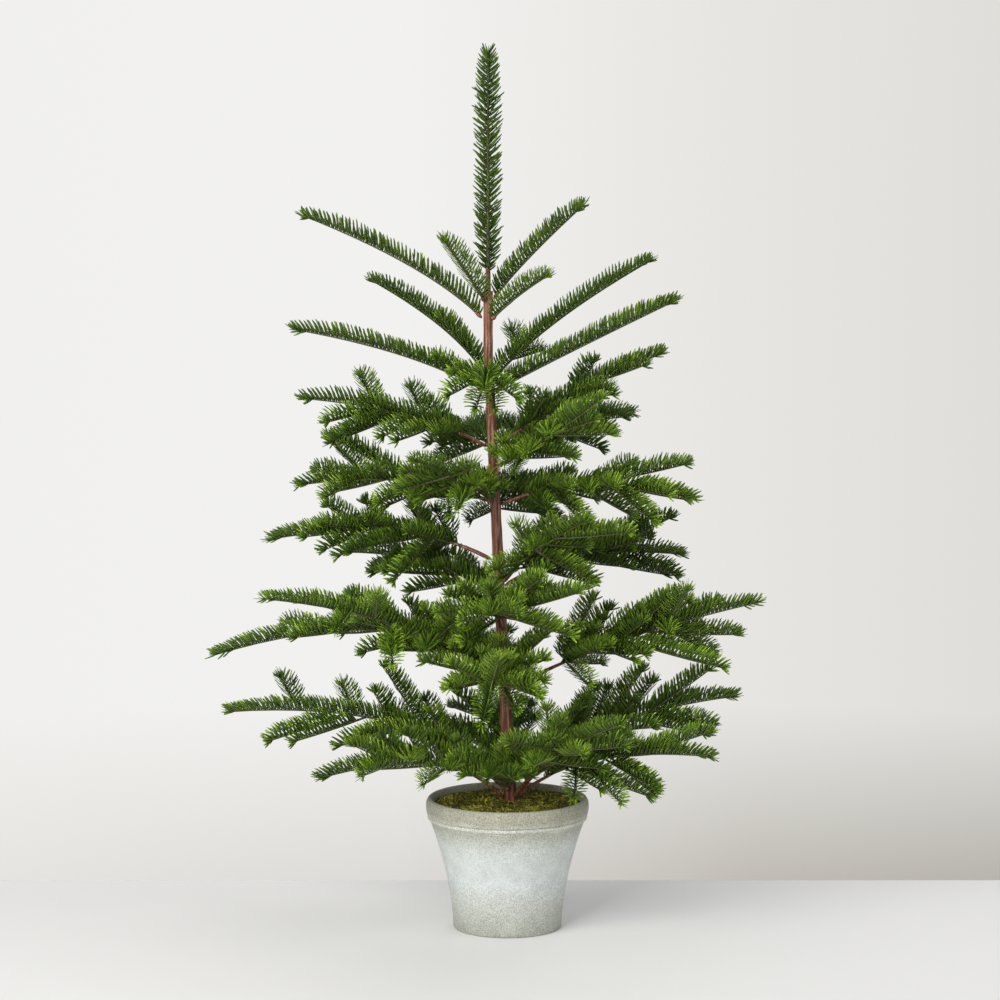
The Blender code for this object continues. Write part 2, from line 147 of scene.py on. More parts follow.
# For each branch: starting slope, reach from the trunk, tip height above the pot, bare stem
# length and side shoots (share along, turn, length, slope), in degrees and millimetres. Its root
# and heading come from its joint. A bare length of None marks a branch moulded in one piece.
BRANCHES = {
    "7_left": (44, 200, 608, None, []),
    "7_front_left": (40, 95, 589, None, []),
    "7_right": (52, 112, 621, None, []),
    "7_front_right": (35, 107, 550, None, []),
    "6_back_left": (50, 155, 539, None, [(0.15, 15, 60, 50)]),
    "6_left": (30, 212, 491, None, [(0.12, 35, 55, 33)]),
    "6_back_right": (45, 200, 559, None, [(0.15, 30, 62, 6), (0.22, 75, 60, 22)]),
    "6_right": (28, 205, 525, None, []),
    "6_front": (35, 150, 433, None, []),
    "5_left": (
        30, 207, 419, 30,
        [(0.62, -70, 62, 36), (0.36, -70, 62, 36), (0.63, 32, 70, -10), (0.3, 40, 70, -12)],
    ),
    "5_right": (40, 190, 466, 30, [(0.5, 28, 55, 50), (0.45, -35, 65, 10), (0.7, -30, 50, 20)]),
    "5_front": (20, 178, 433, 25, [(0.35, -70, 65, -10), (0.3, 25, 62, -3), (0.45, 60, 60, 40)]),
    "5_back_right": (
        25, 212, 388, 30,
        [(0.45, 40, 75, -5), (0.3, 60, 75, -10), (0.6, -35, 60, 3)],
    ),
    "5_back_left": (25, 150, 355, None, [(0.4, 40, 60, 5), (0.5, -40, 55, 3)]),
    "4_left": (
        25, 216, 331, 35,
        [(0.45, -40, 100, 25), (0.4, 40, 80, -12), (0.7, 35, 60, -15), (0.7, -30, 55, 10)],
    ),
    "4_front_left": (30, 165, 368, None, [(0.4, 48, 65, 3), (0.5, -42, 62, 8)]),
    "4_right": (25, 218, 315, 30, [(0.42, 25, 130, 10), (0.45, -70, 60, 0), (0.7, -30, 55, -5)]),
    "4_back": (25, 170, 313, None, [(0.35, 48, 75, 0), (0.45, -45, 75, 3)]),
    "3_left": (
        28, 250, 264, 45,
        [(0.62, -30, 62, 25), (0.4, 40, 85, -10), (0.45, -40, 80, 5), (0.68, 30, 55, -5)],
    ),
    "3_back_left": (25, 225, 238, None, [(0.5, 35, 65, -12), (0.4, -42, 70, 5)]),
    "3_front": (40, 165, 309, 25, [(0.3, -65, 75, -2), (0.45, 45, 60, 10)]),
    "3_back_right": (
        25, 235, 238, 35,
        [(0.5, -20, 90, 30), (0.45, 35, 80, 5), (0.38, -42, 75, -5)],
    ),
    "3_front_right": (
        28, 170, 215, 30,
        [(0.5, -55, 75, 5), (0.4, 58, 115, 17), (0.7, 35, 55, 5)],
    ),
    "2_left": (
        45, 315, 142, 70,
        [(0.35, 30, 75, -10), (0.4, -35, 80, 5), (0.6, 30, 70, -3), (0.65, -30, 70, 3)],
    ),
    "2_front_left": (
        40, 300, 234, 60,
        [(0.62, -25, 80, 15), (0.4, -45, 80, 10), (0.7, 40, 55, -15), (0.45, 38, 75, -5)],
    ),
    "2_front": (40, 175, 98, 30, [(0.4, -60, 90, 15), (0.45, 52, 80, 5)]),
    "2_right": (
        30, 274, 210, 70,
        [(0.5, -25, 125, -10), (0.6, 25, 110, -5), (0.65, -80, 50, 0), (0.38, 42, 85, 10)],
    ),
    "2_back": (30, 185, 113, None, [(0.35, 47, 75, 5), (0.45, -45, 85, 3)]),
    "1_left_up": (
        48, 312, 81, 50,
        [(0.78, -50, 60, 35), (0.61, -60, 60, 30), (0.58, 38, 95, -12), (0.4, 40, 75, 2)],
    ),
    "1_left_low": (46, 235, 39, 40, [(0.45, -32, 85, -4), (0.4, 42, 75, -5), (0.68, 30, 60, -3)]),
    "1_right": (
        50, 262, 95, 50,
        [(0.6, -35, 90, -8), (0.55, 30, 75, 35), (0.4, 50, 85, 35), (0.72, 28, 60, 8)],
    ),
    "1_right_low": (
        42, 230, 56, 45,
        [(0.52, -30, 90, -14), (0.42, -45, 95, -18), (0.38, -75, 60, -30), (0.6, 30, 65, 3)],
    ),
    "1_front_right": (
        45, 208, 110, 35,
        [(0.35, -20, 105, 40), (0.55, 32, 75, 8), (0.42, -52, 75, 5)],
    ),
    "1_front": (50, 110, 35, None, [(0.5, -45, 50, 5), (0.6, 48, 45, 3)]),
    "1_back": (45, 200, 85, None, [(0.35, 47, 75, 0), (0.45, -45, 75, 3)]),
}

# The slopes of the small shoots between the larger ones, by tier
FILLER_SLOPES = {"5": (-22, 12), "4": (-24, 26), "3": (-14, 44), "2": (-12, 46), "1": (6, 40)}

# More small shoots on the branches that look densest, listed as the side shoots above are
EXTRA_SHOOTS = {
    "6_front": [
        (0.35, -45, 66, -20), (0.60, 45, 58, -26), (0.25, -75, 45, 4), (0.15, 10, 62, -30),
        (0.40, -12, 66, -34),
    ],
    "5_left": [(0.50, 20, 92, -18), (0.22, -40, 50, 40)],
    "5_right": [(0.22, -60, 50, 48), (0.30, 50, 60, 4)],
    "5_front": [(0.20, 30, 55, 24), (0.55, 20, 60, 20), (0.25, -62, 66, 18)],
    "5_back_right": [(0.25, 45, 60, 54), (0.40, -60, 70, -20)],
    "4_left": [(0.25, 80, 58, -28), (0.65, -65, 92, 28)],
    "4_front_left": [(0.35, 25, 80, -14), (0.55, -60, 62, -16), (0.15, 40, 64, 12)],
    "4_right": [
        (0.30, -45, 80, -28), (0.45, 35, 75, -30), (0.60, -25, 70, -32), (0.55, 45, 60, -20),
        (0.65, 25, 78, -12),
    ],
    "4_back": [(0.30, -60, 85, -30), (0.50, -75, 80, -18)],
    "3_left": [(0.50, 30, 70, -22), (0.60, 35, 60, -20), (0.20, -50, 56, 40), (0.30, 60, 84, -30)],
    "3_back_left": [(0.25, 65, 96, 6), (0.45, 45, 62, -5), (0.55, 25, 55, -16)],
    "3_front": [
        (0.25, 40, 70, -5), (0.60, 20, 60, 20), (0.25, 65, 86, -16), (0.65, 25, 95, 8),
        (0.45, 25, 80, -22),
    ],
    "3_back_right": [
        (0.55, -45, 98, 28), (0.55, -25, 66, 18), (0.45, -25, 104, -12), (0.65, -65, 84, -14),
        (0.35, -45, 90, 17),
    ],
    "3_front_right": [
        (0.30, 60, 80, 30), (0.50, 50, 85, 34), (0.30, 85, 80, 45), (0.35, 85, 104, 18),
        (0.25, -45, 82, 24), (0.55, 75, 92, -14), (0.30, 65, 72, -4),
        (0.20, -10, 72, 40), (0.25, -30, 74, -16),
    ],
    "2_left": [(0.35, 65, 80, -2), (0.25, -45, 84, -8)],
    "2_front_left": [
        (0.25, -45, 78, -2), (0.35, -85, 92, -12), (0.35, 85, 76, 30), (0.25, 45, 92, 40),
        (0.55, 60, 84, -26),
    ],
    "2_front": [
        (0.35, 70, 80, 40), (0.50, 30, 60, 35), (0.25, -25, 100, 1), (0.35, -65, 62, -10),
        (0.45, 45, 80, -7), (0.35, 65, 60, -18), (0.65, 25, 56, 52), (0.30, 60, 98, 38),
        (0.20, 8, 78, 42), (0.25, -38, 84, 30), (0.20, 25, 70, -24),
    ],
    "2_right": [
        (0.30, 20, 72, 52), (0.40, -30, 78, 40), (0.50, 12, 70, 44), (0.32, -58, 74, 18),
        (0.46, -48, 68, 30), (0.60, -12, 62, 38), (0.70, 30, 60, 20), (0.24, -45, 98, 56),
        (0.25, -62, 98, 18), (0.26, -65, 72, -14), (0.25, 62, 82, 10), (0.24, -70, 84, 38),
        (0.45, -25, 104, 38), (0.55, 25, 98, -18), (0.65, -65, 84, 38), (0.36, 45, 90, -7),
        (0.65, 45, 88, -26), (0.45, -45, 62, -5),
    ],
    "1_left_up": [(0.45, 25, 80, -14), (0.65, 45, 104, -11), (0.35, -25, 98, 50)],
    "1_left_low": [(0.55, -65, 90, 8), (0.65, -25, 60, 25), (0.45, -45, 96, 12)],
    "1_right": [
        (0.65, -25, 94, 36), (0.45, -25, 94, 54), (0.65, -45, 88, -2), (0.35, -85, 74, 56),
        (0.30, 30, 84, 52),
    ],
    "1_front": [(0.20, 12, 66, 48), (0.25, -40, 72, 34), (0.30, -80, 66, 20)],
    "1_right_low": [
        (0.35, 25, 96, -22), (0.32, -25, 60, -18), (0.55, -25, 76, -26), (0.65, 25, 92, 16),
    ],
    "1_front_right": [
        (0.30, 25, 80, 30), (0.50, -15, 80, 10), (0.45, -45, 82, 54), (0.25, 85, 92, 50),
        (0.35, -85, 66, 30), (0.55, -85, 84, 14), (0.40, 40, 66, -4), (0.20, -50, 84, 44),
    ],
}


# Numbers


def unit(rows):
    return rows / np.linalg.norm(rows, axis=-1, keepdims=True)


def heading(azimuth, slope):
    azimuth, slope = math.radians(azimuth), math.radians(slope)
    flat = math.cos(slope)
    return np.array([flat * math.cos(azimuth), flat * math.sin(azimuth), math.sin(slope)])


def seed_of(name):
    return sum((i + 1) * ord(letter) for i, letter in enumerate(name))


# Materials


def node(tree, kind, place, **values):
    made = tree.nodes.new(kind)
    made.location = place
    for name, value in values.items():
        setattr(made, name, value)
    return made


def start_material(name):
    material = bpy.data.materials.new(name)
    material.use_nodes = True
    tree = material.node_tree
    return material, tree, tree.nodes["Principled BSDF"]


def ramp(tree, source, stops, place=(-300, 0)):
    made = node(tree, "ShaderNodeValToRGB", place)
    elements = made.color_ramp.elements
    while len(elements) < len(stops):
        elements.new(0.5)
    for element, (position, colour) in zip(elements, stops):
        element.position = position
        element.color = (*colour, 1.0)
    tree.links.new(source, made.inputs["Fac"])
    return made.outputs["Color"]


def noise(tree, scale, detail=4.0, roughness=0.55, coords=None, place=(-700, 0)):
    made = node(tree, "ShaderNodeTexNoise", place)
    made.inputs["Scale"].default_value = scale
    made.inputs["Detail"].default_value = detail
    made.inputs["Roughness"].default_value = roughness
    source = coords or object_coords(tree)
    tree.links.new(source, made.inputs["Vector"])
    return made.outputs["Fac"]


def object_coords(tree, stretch=None):
    coords = node(tree, "ShaderNodeTexCoord", (-1100, 0))
    if not stretch:
        return coords.outputs["Object"]
    mapping = node(tree, "ShaderNodeMapping", (-900, 0))
    mapping.inputs["Scale"].default_value = stretch
    tree.links.new(coords.outputs["Object"], mapping.inputs["Vector"])
    return mapping.outputs["Vector"]


def attribute(tree, name):
    return node(tree, "ShaderNodeAttribute", (-900, 200), attribute_name=name).outputs["Fac"]


def mix(tree, factor, first, second, blend="MIX"):
    made = node(tree, "ShaderNodeMix", (-100, 0), data_type="RGBA", blend_type=blend)
    sockets = (made.inputs[0], made.inputs[6], made.inputs[7])
    for socket, value in zip(sockets, (factor, first, second)):
        if isinstance(value, (int, float)):
            socket.default_value = value
        elif isinstance(value, tuple):
            socket.default_value = (*value, 1.0)
        else:
            tree.links.new(value, socket)
    return made.outputs[2]


def bump(tree, shader, height, strength, distance):
    made = node(tree, "ShaderNodeBump", (-100, -300))
    made.inputs["Strength"].default_value = strength
    made.inputs["Distance"].default_value = distance
    tree.links.new(height, made.inputs["Height"])
    tree.links.new(made.outputs["Normal"], shader.inputs["Normal"])


def needle_material():
    """Green plastic: each needle has its own tint, lighter on shoots facing the front as painted
    light, and a paler underside; the darker root is painted shade where the needles crowd the
    spine.
    """
    material, tree, shader = start_material("needle_plastic")
    tint = ramp(
        tree,
        attribute(tree, "tint"),
        [(0.0, (0.007, 0.022, 0.004)), (0.5, (0.060, 0.142, 0.012)), (1.0, (0.320, 0.540, 0.046))],
    )
    # Darker at the root, painted shade where the needles meet the spine, and lighter towards the
    # tip
    along = ramp(
        tree,
        attribute(tree, "along"),
        [
            (0.0, (0.14, 0.16, 0.12)),
            (0.30, (0.52, 0.56, 0.50)),
            (0.65, (1.20, 1.17, 1.0)),
            (1.0, (1.70, 1.50, 1.2)),
        ],
    )
    body = mix(tree, 1.0, tint, along, "MULTIPLY")
    under = mix(tree, attribute(tree, "under"), body, (0.082, 0.132, 0.020))
    patch = ramp(tree, noise(tree, 28.0), [(0.3, (0.80, 0.86, 0.80)), (0.7, (1.15, 1.08, 1.0))])
    tree.links.new(mix(tree, 1.0, under, patch, "MULTIPLY"), shader.inputs["Base Color"])
    shader.inputs["Roughness"].default_value = 0.44
    shader.inputs["Specular IOR Level"].default_value = 0.26
    bump(tree, shader, noise(tree, 900.0), 0.25, 0.0004)
    return material


def spine_material():
    """The shoots' moulded spines: olive and browner in patches."""
    material, tree, shader = start_material("spine_plastic")
    colour = ramp(
        tree,
        noise(tree, 60.0),
        [(0.35, (0.070, 0.060, 0.022)), (0.65, (0.110, 0.125, 0.045))],
    )
    tree.links.new(colour, shader.inputs["Base Color"])
    shader.inputs["Roughness"].default_value = 0.55
    bump(tree, shader, noise(tree, 700.0), 0.3, 0.0005)
    return material


def tape_material():
    """Wound red-brown tape: satin, with lengthwise creases darkened by painted shade and lighter
    streaks that are painted highlights.
    """
    material, tree, shader = start_material("brown_tape")
    streaks = noise(tree, 55.0, 5.0, 0.6, object_coords(tree, (9.0, 9.0, 0.6)))
    # Near-black where the creases sink, as painted shade, and pale where the ridges rise, as
    # painted highlights; the browns between are the tape's own colour
    colour = ramp(
        tree,
        streaks,
        [
            (0.27, (0.022, 0.010, 0.006)),
            (0.44, (0.140, 0.048, 0.024)),
            (0.60, (0.300, 0.125, 0.072)),
            (0.76, (0.700, 0.440, 0.330)),
        ],
    )
    tree.links.new(colour, shader.inputs["Base Color"])
    shader.inputs["Roughness"].default_value = 0.30
    bump(tree, shader, streaks, 0.6, 0.0012)
    return material


def cement_material(box):
    """Cast cement: olive-grey rim, a pale blue-white wash below it that wears off at the foot."""
    material, tree, shader = start_material("pot_cement")
    coords = node(tree, "ShaderNodeTexCoord", (-1300, 0))
    split = node(tree, "ShaderNodeSeparateXYZ", (-1100, 300))
    tree.links.new(coords.outputs["Object"], split.inputs["Vector"])
    wobble = node(tree, "ShaderNodeMath", (-900, 300), operation="MULTIPLY_ADD")
    tree.links.new(noise(tree, 42.0, 7.0, 0.75), wobble.inputs[0])
    wobble.inputs[1].default_value = 0.014
    tree.links.new(split.outputs["Z"], wobble.inputs[2])
    level = node(tree, "ShaderNodeMapRange", (-700, 300))
    level.inputs["From Min"].default_value = box[0][2] + 0.010
    level.inputs["From Max"].default_value = box[1][2] + 0.010
    tree.links.new(wobble.outputs[0], level.inputs["Value"])
    # Colour bands by height. The pale band at 0.83 lies on the bead: partly worn paint, partly a
    # painted highlight
    bands = ramp(
        tree,
        level.outputs["Result"],
        [
            (0.00, (0.395, 0.405, 0.360)),
            (0.20, (0.530, 0.552, 0.510)),
            (0.40, (0.625, 0.665, 0.660)),
            (0.66, (0.590, 0.625, 0.605)),
            (0.79, (0.440, 0.450, 0.380)),
            (0.83, (0.600, 0.610, 0.550)),
            (0.89, (0.380, 0.378, 0.302)),
            (1.00, (0.400, 0.395, 0.315)),
        ],
    )
    cloud = ramp(
        tree,
        noise(tree, 60.0, 7.0, 0.75),
        [(0.32, (0.88, 0.88, 0.87)), (0.68, (1.08, 1.08, 1.08))],
    )
    grains = ramp(
        tree,
        noise(tree, 900.0, 2.0, 0.6),
        [(0.36, (0.60, 0.60, 0.58)), (0.50, (1.0, 1.0, 1.0)), (0.64, (1.28, 1.28, 1.27))],
    )
    grain_share = ramp(
        tree,
        level.outputs["Result"],
        [
            (0.0, (1.0, 1.0, 1.0)),
            (0.3, (0.8, 0.8, 0.8)),
            (0.5, (0.3, 0.3, 0.3)),
            (0.8, (1.0, 1.0, 1.0)),
        ],
    )
    tinted = mix(tree, 1.0, bands, cloud, "MULTIPLY")
    tree.links.new(mix(tree, grain_share, tinted, grains, "MULTIPLY"), shader.inputs["Base Color"])
    shader.inputs["Roughness"].default_value = 0.9
    shader.inputs["Specular IOR Level"].default_value = 0.25
    bump(tree, shader, noise(tree, 380.0, 6.0, 0.75), 0.45, 0.0012)
    return material


def moss_material():
    material, tree, shader = start_material("dried_moss")
    colour = ramp(
        tree,
        noise(tree, 75.0, 6.0, 0.7),
        [
            (0.28, (0.014, 0.012, 0.003)),
            (0.46, (0.070, 0.062, 0.008)),
            (0.62, (0.220, 0.205, 0.022)),
            (0.80, (0.420, 0.410, 0.060)),
        ],
    )
    tree.links.new(colour, shader.inputs["Base Color"])
    shader.inputs["Roughness"].default_value = 0.95
    bump(tree, shader, noise(tree, 500.0, 5.0, 0.8), 0.9, 0.002)
    return material


def moss_strand_material():
    material, tree, shader = start_material("moss_strands")
    colour = ramp(
        tree,
        attribute(tree, "tint"),
        [(0.0, (0.020, 0.016, 0.004)), (0.42, (0.150, 0.135, 0.012)), (1.0, (0.820, 0.790, 0.085))],
    )
    tree.links.new(colour, shader.inputs["Base Color"])
    shader.inputs["Roughness"].default_value = 0.9
    bump(tree, shader, noise(tree, 900.0), 0.3, 0.0005)
    return material


def hidden_material(name, dark, light, roughness, metallic):
    material, tree, shader = start_material(name)
    stops = [(0.35, dark), (0.65, light)]
    tree.links.new(ramp(tree, noise(tree, 120.0), stops), shader.inputs["Base Color"])
    shader.inputs["Roughness"].default_value = roughness
    shader.inputs["Metallic"].default_value = metallic
    bump(tree, shader, noise(tree, 300.0), 0.4, 0.001)
    return material


# Meshes


def add_mesh(name, points, quads, triangles=(), material=None):
    """A mesh object from arrays of points, four-cornered and three-cornered faces."""
    quads = np.asarray(quads, np.int32).reshape(-1, 4)
    triangles = np.asarray(triangles, np.int32).reshape(-1, 3)
    mesh = bpy.data.meshes.new(name)
    mesh.vertices.add(len(points))
    mesh.vertices.foreach_set("co", np.asarray(points, np.float32).ravel())
    corners = np.concatenate([quads.ravel(), triangles.ravel()])
    mesh.loops.add(len(corners))
    mesh.loops.foreach_set("vertex_index", corners)
    sizes = np.concatenate([np.full(len(quads), 4), np.full(len(triangles), 3)])
    mesh.polygons.add(len(sizes))
    mesh.polygons.foreach_set("loop_start", np.concatenate([[0], np.cumsum(sizes)[:-1]]))
    mesh.update(calc_edges=True)
    mesh.validate()
    mesh.shade_smooth()
    if material:
        mesh.materials.append(material)
    made = bpy.data.objects.new(name, mesh)
    bpy.context.scene.collection.objects.link(made)
    return made


def add_values(piece, name, values):
    layer = piece.data.attributes.new(name, "FLOAT", "POINT")
    layer.data.foreach_set("value", np.asarray(values, np.float32))


def frames_along(places):
    """Tangent, sideways and upward directions at each place of a line."""
    tangent = unit(np.gradient(places, axis=0))
    side = np.cross(UP, tangent)
    flat = np.linalg.norm(side, axis=1, keepdims=True)
    along_x = np.array([1.0, 0.0, 0.0])
    side = np.where(flat > LEAST_SIDEWAYS, side / np.maximum(flat, 1e-9), along_x)
    up = np.cross(tangent, side)
    return tangent, side, up


def fan(middle, first, sides):
    """Triangles from a middle point to the ring of points that starts at first."""
    side = np.arange(sides)
    return np.stack([np.full(sides, middle), first + side, first + (side + 1) % sides], -1)


def tube(name, places, radii, sides, material, lobes=0, lobe_depth=0.0, twist=0.0):
    """A closed tube with an optional lobed section that turns as it goes along."""
    places = np.asarray(places, float)
    _, side, up = frames_along(places)
    count = len(places)
    turn = np.linspace(0, 2 * math.pi, sides, endpoint=False)
    angle = turn[None, :] + twist * np.linspace(0, 1, count)[:, None]
    swell = 1 - lobe_depth * (0.5 - 0.5 * np.cos(lobes * turn))[None, :] ** 3 if lobes else 1.0
    radius = np.asarray(radii, float)[:, None] * swell * np.ones_like(angle)
    rings = places[:, None] + (np.cos(angle) * radius)[..., None] * side[:, None]
    rings = rings + (np.sin(angle) * radius)[..., None] * up[:, None]
    points = np.concatenate([rings.reshape(-1, 3), places[:1], places[-1:]])
    i, j = np.meshgrid(np.arange(count - 1), np.arange(sides), indexing="ij")
    k = (j + 1) % sides
    quads = np.stack([i * sides + j, i * sides + k, (i + 1) * sides + k, (i + 1) * sides + j], -1)
    middle = count * sides
    foot = fan(middle, 0, sides)[:, ::-1]
    head = fan(middle + 1, middle - sides, sides)
    return add_mesh(name, points, quads, np.concatenate([foot, head]), material)


# Needles

# One needle: stations along it, its half width and half thickness there
NEEDLE_STATIONS = np.array([0.0, 0.22, 0.66, 0.91])
NEEDLE_HALF_WIDTHS = np.array([0.30, 0.47, 0.50, 0.36])
NEEDLE_HALF_DEPTHS = np.array([0.50, 0.50, 0.42, 0.30])


def past(shares, start, end=1.0):
    """0 up to start, 1 at the end and beyond it, and rising evenly between."""
    return np.clip((shares - start) / (end - start), 0, 1)


def shoot_needles(line, start, rng, tint):
    """Root, direction, length, bend, flat side and tint of each needle on a shoot."""
    whole = line_length(line)
    end = 1.0 - SHOOT_END_INSET / whole
    samples = np.linspace(start, end, 80)
    places = line(samples)
    steps = np.linalg.norm(np.diff(places, axis=0), axis=1)
    length = steps.sum()
    reached = np.concatenate([[0], np.cumsum(steps)]) / length
    count = max(int(length / NEEDLE_SPACING), 6)
    found = []
    for side, lift, stagger, share in NEEDLE_ROWS:
        s = (np.arange(count) + stagger + rng.uniform(-PLACE_SPREAD, PLACE_SPREAD, count)) / count
        s = s[(s > 0.0) & (s < 0.985)]
        at = np.interp(s, reached, samples)
        root = line(at)
        tangent = unit(line(at + 0.01) - line(at - 0.01))
        across = unit(np.cross(UP, tangent))
        up = np.cross(tangent, across)
        angle = np.radians(lift + rng.normal(0, LIFT_SPREAD, len(s)))
        out = (side * np.cos(angle))[:, None] * across + np.sin(angle)[:, None] * up
        lean = NEEDLE_LEAN + TIP_LEAN * past(s, 0.80) + rng.normal(0, LEAN_SPREAD, len(s))
        forward = np.radians(lean)
        towards = np.cos(forward)[:, None] * out + np.sin(forward)[:, None] * tangent
        grown = np.clip(0.60 + s * length / 0.020, 0, 1) * (1 - 0.42 * past(s, 0.72) ** 1.5)
        size = NEEDLE_LENGTH * share * grown * rng.normal(1, LENGTH_SPREAD, len(s))
        curl = 0.24 * tangent + 0.12 * up - 0.16 * out
        tints = tint + rng.normal(0, TINT_SPREAD, len(s))
        found.append((root, towards, size, curl, tangent, tints))
    found.append(tip_needles(line, rng, tint, end))
    return [np.concatenate(parts) for parts in zip(*found)]


def tip_needles(line, rng, tint, end=1.0):
    """The bunch of short needles that closes a shoot."""
    count = TIP_NEEDLES
    tangent = unit(line(np.array([end])) - line(np.array([end - 0.03])))[0]
    across = np.cross(UP, tangent)
    upright = np.linalg.norm(across) < LEAST_SIDEWAYS
    across = np.array([1.0, 0.0, 0.0]) if upright else unit(across)
    up = np.cross(tangent, across)
    turn = np.arange(count) * 2.4 + rng.uniform(0, 6)
    spread = np.radians(rng.uniform(8, 46, count))
    out = unit(np.cos(turn)[:, None] * across + (0.25 + 0.75 * np.sin(turn))[:, None] * up)
    towards = np.cos(spread)[:, None] * tangent + np.sin(spread)[:, None] * out
    root = line(end - rng.uniform(0.0, 0.05, count))
    size = NEEDLE_LENGTH * rng.uniform(0.44, 0.66, count)
    curl = np.tile(0.1 * up, (count, 1))
    flat_along = np.tile(tangent, (count, 1)) + 0.6 * out
    return root, towards, size, curl, flat_along, tint + rng.normal(0.06, 0.08, count)


def build_needles(name, needles, material):
    """One mesh of all the needles of a branch, each a thin closed blade with a rounded end."""
    root, towards, size, curl, flat_along, tint = needles
    count = len(root)
    towards = unit(towards)
    wide = unit(flat_along - (flat_along * towards).sum(1, keepdims=True) * towards)
    deep = np.cross(towards, wide)
    # Width and depth turn over together, so that the paler side is below and faces stay outward
    turned = np.where(deep[:, 2:3] < 0, -1.0, 1.0)
    wide, deep = wide * turned, deep * turned
    u = NEEDLE_STATIONS[None, :, None]
    scale = size[:, None, None]
    middle = root[:, None] + scale * (u * towards[:, None] + u**2 * curl[:, None])
    width = NEEDLE_WIDTH * NEEDLE_HALF_WIDTHS[None, :, None] * wide[:, None]
    depth = NEEDLE_THICKNESS * NEEDLE_HALF_DEPTHS[None, :, None] * deep[:, None]
    rings = np.stack([middle + width, middle + depth, middle - width, middle - depth], 2)
    tip = root + size[:, None] * (towards + curl)
    points = np.concatenate([rings.reshape(count, -1, 3), tip[:, None]], 1)
    per = points.shape[1]
    stations = len(NEEDLE_STATIONS)
    quads, ends = [], []
    for corner in range(4):
        other = (corner + 1) % 4
        for step in range(stations - 1):
            low, high = step * 4, step * 4 + 4
            quads.append((low + corner, low + other, high + other, high + corner))
        last = (stations - 1) * 4
        ends.append((last + corner, last + other, per - 1))
    quads.append((3, 2, 1, 0))
    offset = (np.arange(count) * per)[:, None, None]
    all_quads = (np.array(quads)[None] + offset).reshape(-1, 4)
    all_ends = (np.array(ends)[None] + offset).reshape(-1, 3)
    piece = add_mesh(name, points.reshape(-1, 3), all_quads, all_ends, material)
    add_values(piece, "tint", np.repeat(np.clip(tint, 0, 1), per))
    along = np.append(np.repeat(NEEDLE_STATIONS, 4), 1.0)
    add_values(piece, "along", np.tile(along, count))
    under = np.append(np.tile([0.35, 0.0, 0.35, 1.0], stations), 0.3)
    add_values(piece, "under", np.tile(under, count))
    lay_out_needles(piece, count, per)
    return piece


def lay_out_needles(piece, count, per):
    """Each needle gets its own cell of the map, unrolled round and along it."""
    columns = math.ceil(math.sqrt(count))
    cell = 1.0 / columns
    corners = np.empty(len(piece.data.loops), np.int32)
    piece.data.loops.foreach_get("vertex_index", corners)
    needle, local = corners // per, corners % per
    around = np.where(local == per - 1, 2, local % 4) / 4 + 0.08
    along = np.append(np.repeat(NEEDLE_STATIONS, 4), 1.0)[local] * 0.84 + 0.08
    u = (needle % columns + around) * cell
    v = (needle // columns + along) * cell
    layer = piece.data.uv_layers.new(name="OFBake")
    layer.data.foreach_set("uv", np.stack([u, v], 1).astype(np.float32).ravel())


# Branches


def joint_of(name):
    return next(joint for joint in frame["joints"] if joint["child"] == f"branch_{name}")


def trunk_radius(height):
    share = (height - LEAN_START_HEIGHT) / (LEAN_END_HEIGHT - LEAN_START_HEIGHT)
    return TRUNK_BASE_RADIUS + (TRUNK_TOP_RADIUS - TRUNK_BASE_RADIUS) * min(max(share, 0.0), 1.0)


def branch_line(name, slope, reach, tip_height):
    """The branch's line from its root, as a function of shares along it."""
    joint = joint_of(name)
    root = np.array(joint["pos_m"])
    azimuth = math.degrees(math.atan2(joint["axis"][0], -joint["axis"][1]))
    flat = heading(azimuth, 0)
    bend = heading(azimuth, slope) * (BEND_POINT * reach)
    inward = trunk_radius(root[2]) + STEM_RADIUS
    tip = flat * (reach - inward)
    tip[2] = tip_height - root[2]

    def line(share):
        share = np.asarray(share, float)[..., None]
        return root + 2 * share * (1 - share) * bend + share**2 * tip

    return azimuth, line


def side_line(line, azimuth, share, turn, length, slope):
    """A side shoot: it leaves flat and lifts a little towards its tip."""
    start = line(share)
    along = heading(azimuth + turn, slope)
    lift = 0.05 * length * MM

    def place(s):
        s = np.asarray(s, float)[..., None]
        return start + along * (length * MM * s) + UP * lift * (s**2 - s)

    return place


def line_length(line):
    return np.linalg.norm(np.diff(line(np.linspace(0, 1, 60)), axis=0), axis=1).sum()


def filler_shoots(name, shoots, start, rng):
    """The small shoots between a branch's larger ones, which fill it out near the trunk."""
    lowest, highest = FILLER_SLOPES[name[0]]
    found = []
    for share in np.arange(start + 0.03, FILLER_END, FILLER_SPACING):
        for side in (-1, 1):
            if any(turn * side > 0 and abs(s - share) < 0.05 for s, turn, _, _ in shoots):
                continue
            turn = side * rng.uniform(*FILLER_TURNS)
            length = rng.uniform(*FILLER_LENGTHS) * (1.1 - 0.3 * share)
            slope = rng.uniform(lowest, highest)
            found.append((share + rng.uniform(-0.02, 0.02), turn, length, slope))
    if highest > 30:
        found.append((start + 0.12, rng.uniform(-40, 40), 48, rng.uniform(*UPRIGHT_SLOPES)))
        found.append((start + 0.34, rng.uniform(-40, 40), 46, rng.uniform(*UPRIGHT_SLOPES)))
    return found


